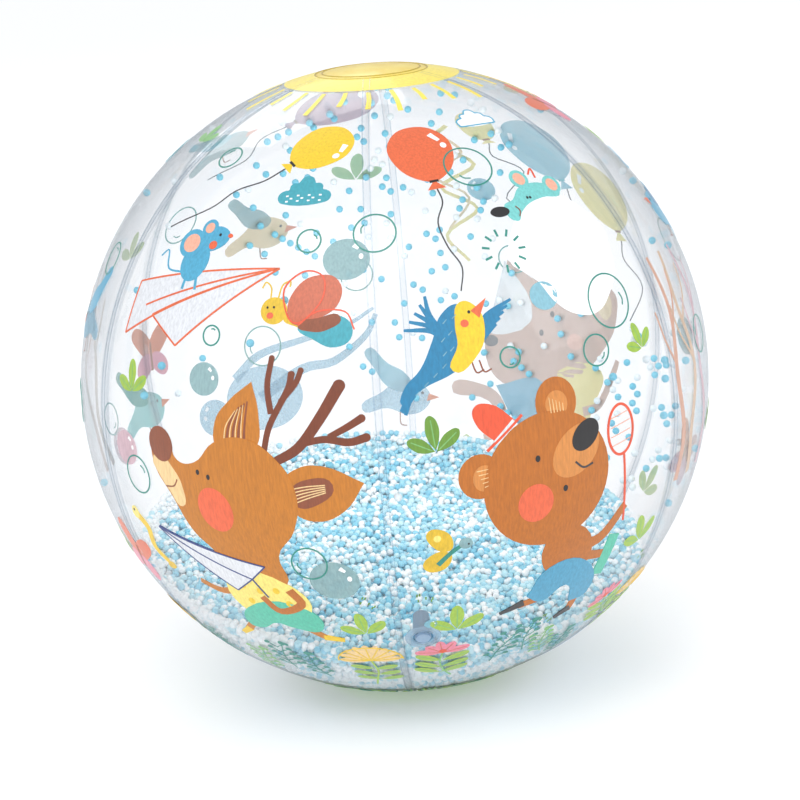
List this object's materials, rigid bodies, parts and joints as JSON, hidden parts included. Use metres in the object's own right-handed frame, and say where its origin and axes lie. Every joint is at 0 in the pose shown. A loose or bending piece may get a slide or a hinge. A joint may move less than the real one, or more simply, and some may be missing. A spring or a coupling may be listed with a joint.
{
  "type": "inflatable beach ball",
  "caption": "Clear inflatable beach ball of welded film gores with round pole caps, a push-in valve and loose foam beads inside.",
  "frame": {"origin": "centre of the ball", "axes": "+Z through the poles, sun cap up; -Y is the front, through the seam beside the valve"},
  "size_m": [0.35, 0.3506, 0.3506],
  "materials": {
    "clear_film": "gloss",
    "yellow_cap": "gloss",
    "green_cap": "gloss",
    "valve_vinyl": "satin",
    "foam_blue": "matte",
    "foam_white": "matte"
  },
  "bodies": {
    "ball": {"panel_front_right": "clear_film", "panel_right": "clear_film", "panel_back_right": "clear_film", "panel_back_left": "clear_film", "panel_left": "clear_film", "panel_front_left": "clear_film", "top_cap": "yellow_cap", "bottom_cap": "green_cap", "valve_flange": "valve_vinyl", "valve_sleeve": "valve_vinyl"},
    "valve": {"valve_stem": "valve_vinyl", "plug_strap": "valve_vinyl"},
    "plug": {"valve_plug": "valve_vinyl"},
    "flap": {"check_flap": "valve_vinyl"},
    "beads": {"bead_heap": "foam_blue", "loose_beads_blue": "foam_blue", "loose_beads_white": "foam_white"}
  },
  "joints": [
    {"name": "valve_slide", "type": "slide", "parent": "ball", "child": "valve", "axis": [0.0629, -0.7909, -0.6088], "range_m": [0, 0.012], "deforming": ["valve_sleeve"]},
    {"name": "plug_pull", "type": "slide", "parent": "valve", "child": "plug", "axis": [0.0629, -0.7909, -0.6088], "range_m": [0, 0.009], "deforming": ["plug_strap"]},
    {"name": "flap_hinge", "type": "hinge", "parent": "valve", "child": "flap", "pos_m": [0.01025, -0.12892, -0.0947], "axis": [0.9969, 0.0792, 0], "range_deg": [0, 60], "stiffness_Nm_per_rad": 0.000005},
    {"name": "bead_roll", "type": "hinge", "parent": "ball", "child": "beads", "pos_m": [0, 0, 0], "axis": [0, 1, 0], "continuous": true}
  ]
}
